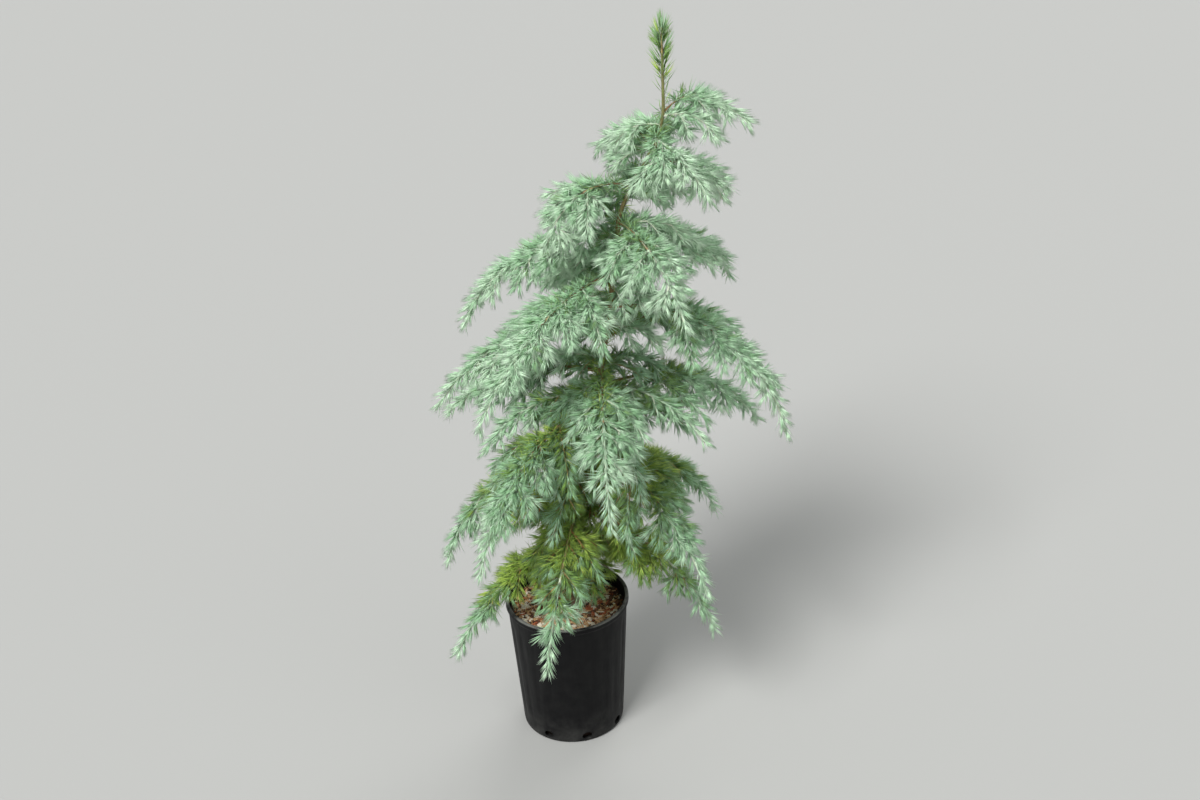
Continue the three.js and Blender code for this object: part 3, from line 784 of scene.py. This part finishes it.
# Gaps to the pot: over the rim, outside the rim, inside the rim, and over the mix.
TWIG_GAPS = (6.1, 6.1, 12.0, 8.0)
INNER_GAPS = (6.0, 6.0, 12.0, 8.0)
TWIG_STEP = 5.0
TWIG_TIP_RADIUS = 0.7
SHORT_BOUGHS = 60
SHORT_FIRST = 0.4
SHORT_HEIGHTS = (240.0, 886.0)
SHORT_HEADING = 2.6
SHORT_HEADING_SPREAD = 0.6
SHORT_LENGTHS = (80.0, 190.0)
SHORT_FULLNESS = (0.6, 1.0, 0.3)
SHORT_THINNING = 0.5
SHORT_SPACING = 16.0
SHORT_SEED = 500
SHORT_SWAY, SHORT_LENGTH, SHORT_TURN = 40, 41, 42
INNER_LIMB_GAP, INNER_STEM_GAP = 1.5, 7.0
# High up, no short bough grows towards the front.
OPEN_ABOVE, OPEN_HEADING, OPEN_WIDTH = 0.45, -83 * DEGREE, 0.55
LEADER_TOP = TRUNK_TOP + 30
LEADER_OVERLAP = 3.0
LEADER_STATIONS = 12
# How new growth is, which through the needle tones also paints shade into the middle of the crown, runs from
# below 0 on the oldest to 1 on this year's: at the trunk, and the curve from there to the tip, each low in
# the crown, high in it, and above which share of it.
AGE_AND_SHADE_AT_TRUNK = (-0.45, 0.4, 0.7)
AGE_AND_SHADE_CURVE = (1.6, 1.05, 0.6)
AGEING = 1.5
SHORT_YOUNGER = 0.85
INNER_ALONG, INNER_YOUNGER = 0.6, 0.4
# Each age of twigs: from and to how new it is, its tone, and the darker tone of its creases, partly painted
# shade.
TWIG_AGES = {
    "twigs_old": (-9.0, 0.26, linear(184, 146, 84), linear(112, 106, 96)),
    "twigs_middling": (0.26, 0.46, linear(206, 182, 124), linear(140, 132, 116)),
    "twigs_new": (0.46, 9.0, linear(234, 242, 224), linear(196, 200, 188)),
}


def segments(lines):
    """The starts, ends and first numbers of the segments of several lines of places."""
    starts = np.concatenate([line[:-1] for line in lines])
    ends = np.concatenate([line[1:] for line in lines])
    return starts, ends, np.cumsum([0] + [len(line) - 1 for line in lines[:-1]])


def distances(points, lines):
    """The distance of each point to each line: the least over its segments of the distance to the
    nearest place on the segment."""
    starts, ends, firsts = lines
    span = ends - starts
    share = ((points[:, None] - starts) * span).sum(axis=-1) / (span * span).sum(axis=-1)
    foot = starts + span * np.clip(share, 0, 1)[..., None]
    return np.minimum.reduceat(np.linalg.norm(points[:, None] - foot, axis=-1), firsts, axis=1)


STEM_LINES = segments([stem["place"] for _, _, _, stem in branches])
LIMB_LINES = segments([bare["place"] for _, bare, _, _ in branches])
LIMB_RADII = np.array([course["foot_radius"] for course, _, _, _ in branches])
TRUNK_LINE = segments([trunk_point(np.linspace(TRUNK_FOOT, TRUNK_TOP, num=23))])


def clear_of_pot(points, over_rim, outside, inside, over_mix):
    """Whether points are above the pot, outside it, or within its rim and above the mix."""
    out, height = np.hypot(points[:, 0], points[:, 1]), points[:, 2]
    within = (out < RIM_RADIUS - inside) & (height > MIX_TOP + over_mix)
    return (height > POT_HEIGHT + over_rim) | (out > RIM_RADIUS + outside) | within


def in_own_space(number, points):
    """Whether points lie nearer to their own main stem than to any other, and clear of the rest."""
    stems = distances(points, STEM_LINES)
    own = stems[:, number].copy()
    stems[:, number] = np.inf
    margin = LIMB_CLEARANCE + TWIG_SPACE
    return (
        clear_of_pot(points, *TWIG_GAPS)
        & (distances(points, TRUNK_LINE)[:, 0] > TRUNK_FOOT_RADIUS + margin)
        & (stems.min(axis=1) > own + MASS_CLEARANCE + TWIG_SPACE)
        & (distances(points, LIMB_LINES) > LIMB_RADII + margin).all(axis=1)
    )


def inside_crown(points):
    """Whether points are clear of the limbs, the main stems and the pot."""
    off_limbs = (distances(points, LIMB_LINES) >= LIMB_RADII + INNER_LIMB_GAP).all(axis=1)
    off_stems = (distances(points, STEM_LINES) >= INNER_STEM_GAP).all(axis=1)
    return off_limbs & off_stems & clear_of_pot(points, *INNER_GAPS)


def shoots_on(branch, line, count, order, flip, fullness=1.0):
    """The courses of the shoots on a stem: they alternate from side to side, branch off at an angle,
    shorten towards the tip, and bend part of the way to hanging."""
    first, end, longest, shortest, radius, least, kind = order
    courses = []
    for item in range(count):
        along = (item + first) / count
        station = max(1, math.floor(along * end * (len(line["place"]) - 1) + 0.5))
        side = 1 if (item + flip) % 2 else -1
        angle = BRANCHING_ANGLE + spread(branch, item, ANGLE + kind) * ANGLE_SPREAD
        away = line["along"][station] * math.cos(angle) + line["across"][station] * side * math.sin(angle)
        slope = math.asin(away[2])
        variation = fullness * (1 + spread(branch, item, SHOOT + kind) * SHOOT_LENGTH_SPREAD)
        courses.append({
            "start": line["place"][station],
            "heading": math.atan2(away[1], away[0]),
            "sway": 0.0,
            "slopes": (slope, between(slope, HANG_SLOPE, SHOOT_HANG)),
            "length": between(longest, shortest, along**SHOOT_SHORTENING) * variation,
            "at": line["share"][station],
            "radius": radius,
            "least": least,
        })
    return courses


def grown(course, is_free, step, first, back):
    """A shoot's line as far as it has room, in a list that is empty where that is too short: stations a
    step apart are tried from the first that counts, and it ends so many back from one that is taken."""
    line = drooping_line(course, 0, 1, step)
    taken = np.flatnonzero(~is_free(line["place"][first:]))
    kept = line["share"][taken[0] + first - back] if len(taken) else 1.0
    if kept * course["length"] < course["least"]:
        return []
    return [{**course, **drooping_line(course, 0, kept, TWIG_STEP)}]


def freshness_and_shade(rise, share):
    """How new growth is: it runs as a power of the share of the bough's reach, from a value at the
    trunk that is lowest on the lowest boughs to 1 at the end. Through the needle tones it also sets painted
    shade in the middle of the crown."""
    return between(rising(rise, *AGE_AND_SHADE_AT_TRUNK), 1, share ** rising(rise, *AGE_AND_SHADE_CURVE))


def side_shoots(key, line, count, order, flip, age_and_light_range, younger, room):
    """The shoots that have room on a twig. Each starts as new as the twig is there, and ends younger."""
    found = []
    for shoot in shoots_on(key, line, count, order, flip):
        young = between(*age_and_light_range, shoot["at"])
        found += [{**twig, "age_and_light": (young, young + younger)} for twig in grown(shoot, **room)]
    return found


def bough_twigs(number, course, stem):
    """The twigs of one bough: side shoots, shorter ones between them, and finer ones on both."""
    room = {"is_free": partial(in_own_space, number), "step": STEM_STEP / 2, "first": 1, "back": 1}
    count = max(2, math.floor(stem["length"] * SHOOTS_END / SHOOT_SPACING))
    found = []
    for order in (SIDE_SHOOTS, SHOOTS_BETWEEN):
        for item, shoot in enumerate(shoots_on(number, stem, count, order, number, course["fullness"])):
            for twig in grown(shoot, **room):
                reach = shoot["at"] + AGEING * twig["length"] / course["length"]
                age_and_light = [freshness_and_shade(course["rise"], share) for share in (shoot["at"], reach)]
                found.append({**twig, "age_and_light": age_and_light})
                key, finer = number * FINER_SEED + item, int(twig["length"] / FINER_SPACING)
                found += side_shoots(key, twig, finer, FINER_SHOOTS, item, age_and_light, FINER_YOUNGER, room)
    return found


def short_bough(number):
    """One of the short boughs that fill the middle of the crown, with its side shoots."""
    rise = (number + SHORT_FIRST) / SHORT_BOUGHS
    fullness = rising(rise, *SHORT_FULLNESS) * (1 - SHORT_THINNING * rise**2)
    course = {
        "start": trunk_point(between(*SHORT_HEIGHTS, rise)),
        "heading": SHORT_HEADING + number * SPIRAL + spread(number, 0, SHORT_TURN) * SHORT_HEADING_SPREAD,
        "sway": spread(number, 0, SHORT_SWAY) * BOUGH_SWAY,
        "slopes": (24 * DEGREE, -58 * DEGREE),
        "length": between(*SHORT_LENGTHS, chance(number, 0, SHORT_LENGTH)) * fullness,
        "radius": 1.4,
        "least": 16.0,
    }
    if rise > OPEN_ABOVE and math.cos(course["heading"] - OPEN_HEADING) > OPEN_WIDTH:
        return []
    old = freshness_and_shade(rise, 0)
    room = {"is_free": inside_crown, "step": TWIG_STEP, "first": 2, "back": 0}
    found = []
    for bough in grown(course, **room):
        key, count = SHORT_SEED + number, int(bough["length"] / SHORT_SPACING)
        age_and_light_range = (old, old + INNER_ALONG)
        found.append({**bough, "age_and_light": (old, old + SHORT_YOUNGER)})
        found += side_shoots(key, bough, count, INNER_SHOOTS, number, age_and_light_range, INNER_YOUNGER, room)
    return found


def twig_shape(twig):
    """A twig as a thin tapering limb."""
    share = np.linspace(0, 1, len(twig["place"]))
    return limb(twig, share * twig["length"], between(twig["radius"], TWIG_TIP_RADIUS, share), sides=5)


twigs = []
for number, (course, _, _, stem) in enumerate(branches):
    twigs += bough_twigs(number, course, stem)
for number in range(SHORT_BOUGHS):
    twigs += short_bough(number)
leader = upright_line(np.linspace(TRUNK_TOP - LEADER_OVERLAP, LEADER_TOP, LEADER_STATIONS))
twigs.append({**leader, "radius": TRUNK_TIP_RADIUS, "age_and_light": (0.3, 0.5)})
foliage_nodes = [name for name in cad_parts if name.startswith("foliage_")]
for name, (oldest, newest, tone, fissure_tone_and_shade) in TWIG_AGES.items():
    of_age = [twig_shape(twig) for twig in twigs if oldest <= sum(twig["age_and_light"]) / 2 < newest]
    piece = make_mesh(name, *merge_shapes(of_age))
    finish_piece(piece, bark(name, tone, tone, tone, fissure_tone_and_shade), "bark", *foliage_nodes)


# The needles
# Stiff three-sided needles stand close round every shoot, most of them in tufts, and lean towards its
# tip. On old wood they stand in whorls on short spurs. Wax makes new ones pale blue; old ones are green.
# Painted light is in the tones too: the middle tones are darkened as shade for the middle of the crown, the
# upright needles on top of new shoots are paler as a highlight, and the tufts differ in tone partly as light
# and shade.
NEEDLE_SPACING = 0.29
NEEDLE_LENGTH = 24.0
NEEDLE_LENGTHS = (0.86, 1.1)
NEEDLE_WIDTH = 1.05
NEEDLE_WIDTHS = (0.85, 1.15)
NEEDLE_CURVE = (0.06, 0.05)
NEEDLE_GAPS = (1.0, 1.5, 7.0, 1.0)
BELLY, BELLY_CURVE = 0.42, 0.18
# How long needles are at the foot and the tip of a shoot, and how fast that rises to 1 along it.
AT_FOOT, AT_TIP, LENGTHENING = 0.7, 0.8, 1.2
FEWEST_NEEDLES = 6
MOST_NEEDLES = 30000
STEM_LEAN = (60 * DEGREE, 36 * DEGREE)
TWIG_LEAN = (54 * DEGREE, 32 * DEGREE)
LEAN_CURVE = 1.5
LEAN_SPREAD = 5 * DEGREE
TUFT_SPACING = 5.2
TUFT_PULL = 0.4
TUFT_ANGLES = (5.0, 175.0, 62.0, 205.0, -25.0, 118.0)
TUFT_ANGLE_SPREAD = 10.0
TUFT_LENGTHS = (0.9, 1.12)
TUFT_WIDTH = 0.4
LOOSE_SHARE = 0.34
# Short needles that stand up along the top of new shoots, made paler as a painted highlight on the shoot's
# top.
KEEL_SHARE = 0.6
KEEL_FROM = 0.35
KEEL_LEAN = 0.42
KEEL_WIDTH = 0.7
KEEL_LENGTH = 0.62
KEEL_HIGHLIGHT = 0.3
# How unevenly new they are, from needle to needle, tuft to tuft, spur to spur and twig to twig; from tuft to
# tuft it also stands in for light and shade on the teeth.
NEEDLE_UNEVENNESS, TUFT_AGE_AND_SHADE_SPREAD, SPUR_UNEVENNESS, TWIG_UNEVENNESS = 0.05, 0.09, 0.08, 0.09
SPURS_FROM, SPURS_TO, SPUR_SPACING = 0.08, 0.5, 9.0
SPUR_PHASE = 1.9
SPUR_TILT = 0.35
SPUR_LENGTHS = (0.7, 1.1)
SPUR_LEAN = (22 * DEGREE, 84 * DEGREE)
TRUNK_SPURS = (TRUNK_FOOT + 40, TRUNK_TOP - 70, 13.0)
TRUNK_AGES = (-0.1, 0.4)
# The leader's needles, few below and close above: from and to which height, how far apart, how long,
# and how far they lean out at the two ends.
LEADER_FOOT = (TRUNK_TOP - 66, TRUNK_TOP - 30, 3.0, 28.0, (34 * DEGREE, 30 * DEGREE))
LEADER_TUFT = (TRUNK_TOP - 34, LEADER_TOP, 0.34, 30.0, (44 * DEGREE, 14 * DEGREE))
LEADER_AGES = (0.2, 0.5)
# Each tone: its slot, how new the oldest needle in it is, and its colour. The sage and sea tones, which the
# middle of the crown wears, are darkened as painted shade.
TONES = {
    "needles_frosted": ("needles_blue", 0.84, linear(217, 244, 213)),
    "needles_glaucous": ("needles_blue", 0.66, linear(191, 227, 189)),
    "needles_silver": ("needles_blue", 0.48, linear(163, 206, 160)),
    "needles_sage": ("needles_blue", 0.32, linear(134, 170, 113)),
    "needles_sea": ("needles_blue", 0.17, linear(130, 167, 84)),
    "needles_olive": ("needles_green", 0.04, linear(185, 211, 97)),
    "needles_moss": ("needles_green", -9.0, linear(144, 175, 71)),
}


def along_line(line, share):
    """The place and the three directions at shares of a line, between its stations."""
    station = np.linspace(0, 1, len(line["place"]))
    return [
        np.stack([np.interp(share, station, line[key][:, axis]) for axis in range(3)], axis=-1)
        for key in ("place", "along", "across", "square")
    ]


def needle_tips(line, share, angle, reach, lean, flatten=1.0):
    """Where needles end: the place on the shoot plus the reach times the direction that leans from the
    shoot's own towards the angle round it. They are shorter at the shoot's two ends."""
    place, along, across, square = along_line(line, share)
    lean = (between(*lean, share**LEAN_CURVE) + rng.normal(0, LEAN_SPREAD, len(share))) * flatten
    out = across * np.cos(angle)[:, None] + square * np.sin(angle)[:, None]
    size = np.minimum(1, AT_FOOT + LENGTHENING * share) * np.minimum(1, AT_TIP + LENGTHENING * (1 - share))
    return place + (along * np.cos(lean)[:, None] + out * np.sin(lean)[:, None]) * (reach * size)[:, None]


def clothe(line, age_and_light, lean, spacing=NEEDLE_SPACING, needle=NEEDLE_LENGTH):
    """Needles on a shoot. Most stand in tufts that point by turns to its two sides and upwards, like the
    teeth of a comb: each needle starts in its tuft's stretch of the shoot, and its tip is drawn part of
    the way to the tuft's tip. The rest stand loose, in a spiral of golden angles."""
    count = int(line["length"] / spacing)
    if count < FEWEST_NEEDLES:
        return []
    tufts = max(3, round(line["length"] / TUFT_SPACING))
    share = (np.arange(count) + rng.uniform(0, 1, count)) / count
    tuft = np.minimum((share * tufts).astype(int), tufts - 1)
    loose = rng.uniform(0, 1, count) < LOOSE_SHARE
    tuft_angle = (np.resize(TUFT_ANGLES, tufts) + rng.normal(0, TUFT_ANGLE_SPREAD, tufts)) * DEGREE
    angle = np.where(loose, np.arange(count) * SPIRAL, tuft_angle[tuft] + rng.normal(0, TUFT_WIDTH, count))
    reach = needle * rng.uniform(*NEEDLE_LENGTHS, count)
    young = between(*age_and_light, share) + rng.normal(0, NEEDLE_UNEVENNESS, count)
    # Each tuft's own shift in tone: partly age, partly painted light and shade between the teeth.
    young = young + np.where(loose, 0, rng.normal(0, TUFT_AGE_AND_SHADE_SPREAD, tufts)[tuft])
    # The upright needles on top of new shoots are made a step paler: a painted highlight.
    keel = loose & (young > KEEL_FROM) & (rng.uniform(0, 1, count) < KEEL_SHARE)
    angle = np.where(keel, TURN / 4 + rng.normal(0, KEEL_WIDTH, count), angle)
    reach = reach * np.where(keel, KEEL_LENGTH, 1)
    tips = needle_tips(line, share, angle, reach, lean, np.where(keel, KEEL_LEAN, 1))
    tuft_reach = needle * rng.uniform(*TUFT_LENGTHS, tufts)
    tuft_tips = needle_tips(line, (np.arange(tufts) + 0.5) / tufts, tuft_angle, tuft_reach, lean)
    place, along, _, _ = along_line(line, share)
    span = tips + (tuft_tips[tuft] - tips) * np.where(loose, 0, TUFT_PULL)[:, None] - place
    reach = np.linalg.norm(span, axis=-1)
    return [(place, span / reach[:, None], along, reach, young + np.where(keel, KEEL_HIGHLIGHT, 0))]


def whorl(place, axis, height, count, age_and_light):
    """Needles round one short spur of a height: spread evenly round its axis at wide angles to it."""
    axis = axis / np.linalg.norm(axis)
    side = np.cross(axis, [0.0, 0.0, 1.0])
    side = side / np.linalg.norm(side)
    angle = np.arange(count)[:, None] * SPIRAL
    lean = between(*SPUR_LEAN, np.sqrt((np.arange(count)[:, None] + 0.5) / count))
    out = side * np.cos(angle) + np.cross(side, axis) * np.sin(angle)
    direction = axis * np.cos(lean) + out * np.sin(lean)
    bend = out * np.cos(lean) - axis * np.sin(lean)
    reach = NEEDLE_LENGTH * rng.uniform(*SPUR_LENGTHS, count)
    young = age_and_light + rng.normal(0, SPUR_UNEVENNESS, count)
    return place + axis * height + 0 * out, direction, bend, reach, young


def spurs(number, course):
    """Whorls in a spiral along a bough's old wood."""
    line = drooping_line(course, 0, 1, TWIG_STEP)
    item = np.arange(int((SPURS_TO - SPURS_FROM) * line["length"] / SPUR_SPACING))
    share = SPURS_FROM + (item + 0.5) * SPUR_SPACING / line["length"]
    places, along, across, square = along_line(line, share)
    angle = (item * SPIRAL + number * SPUR_PHASE)[:, None]
    axes = across * np.cos(angle) + square * np.sin(angle) + along * SPUR_TILT
    age_and_light = freshness_and_shade(course["rise"], share=0.1)
    return [whorl(place, axis, height=1.5, count=15, age_and_light=age_and_light) for place, axis in zip(places, axes)]


def needle_shapes(base, direction, bend, length):
    """Needles as closed three-sided spindles: a point at the base, a ring of three corners before the
    middle that is moved a little by the bend, and a point at the tip that is moved by all of it."""
    width = NEEDLE_WIDTH * rng.uniform(*NEEDLE_WIDTHS, len(base))
    side = np.cross(direction, bend)
    side = side / np.linalg.norm(side, axis=-1, keepdims=True)
    lift = np.cross(side, direction)
    curve = lift * (rng.normal(*NEEDLE_CURVE, len(base)) * length)[:, None]
    span = direction * length[:, None]
    angle = np.arange(3) * TURN / 3 + rng.uniform(0, TURN, (len(base), 1))
    ring = side[:, None] * np.cos(angle)[..., None] + lift[:, None] * np.sin(angle)[..., None]
    ring = (base + BELLY * span + BELLY_CURVE * curve)[:, None] + ring * (width / 2)[:, None, None]
    vertices = np.concatenate([base[:, None], ring, (base + span + curve)[:, None]], axis=1)
    faces = np.array([[0, 2, 1], [0, 3, 2], [0, 1, 3], [4, 1, 2], [4, 2, 3], [4, 3, 1]])
    return vertices.reshape(-1, 3), (faces + (np.arange(len(base)) * 5)[:, None, None]).reshape(-1, 3)


def needle_wax(name, colour):
    """A needle's skin: one plain tone under a bloom of wax, a little uneven in gloss."""
    material, tree, surface = shader(name, colour, roughness=0.6)
    grain = add_grain(tree, fineness=1400.0, stretch=1.0, contrast=1.4, relief=0.0001)
    coat(tree, surface, colour, grain, smooth=0.5, rough=0.75)
    feed(tree, surface, {"Sheen Weight": 0.14, "Sheen Roughness": 0.4, "Specular IOR Level": 0.28})
    return material


needles = []
for number, (course, _, fork, _) in enumerate(branches):
    age_and_light_range = (freshness_and_shade(course["rise"], BARE_SHARE), 1.0)
    needles += spurs(number, course)
    needles += clothe(drooping_line(fork, BARE_SHARE, 1, TWIG_STEP), age_and_light_range, STEM_LEAN)
for twig in twigs:
    needles += clothe(twig, twig["age_and_light"] + rng.normal(0, TWIG_UNEVENNESS, 1), TWIG_LEAN)
heights = np.arange(*TRUNK_SPURS)
for number, height in enumerate(heights):
    axis = np.array([math.cos(number * SPIRAL), math.sin(number * SPIRAL), SPUR_TILT])
    age_and_light = between(*TRUNK_AGES, number / len(heights))
    needles.append(whorl(trunk_point(height), axis, trunk_radius(height), count=14, age_and_light=age_and_light))
for low, high, spacing, length, lean in (LEADER_FOOT, LEADER_TUFT):
    line = upright_line(np.linspace(low, high, LEADER_STATIONS))
    needles += clothe(line, LEADER_AGES, lean, spacing, length)

base, direction, bend, length, age_and_light = (np.concatenate(values) for values in zip(*needles))
span = direction * length[:, None]
keep = np.all([clear_of_pot(points, *NEEDLE_GAPS) for points in (base, base + span / 2, base + span)], axis=0)
# The tone follows age and painted light and shade together.
tone_of = (age_and_light[:, None] < [oldest for _, oldest, _ in TONES.values()]).sum(axis=1)
for tone, (name, (slot, _, colour)) in enumerate(TONES.items()):
    chosen = np.flatnonzero(keep & (tone_of == tone))
    material = needle_wax(name, colour)
    for part in range(0, len(chosen), MOST_NEEDLES):
        these = chosen[part:part + MOST_NEEDLES]
        shape = needle_shapes(base[these], direction[these], bend[these], length[these])
        piece = make_mesh(f"{name}_{part // MOST_NEEDLES + 1}", *shape)
        finish_piece(piece, material, slot, *foliage_nodes)
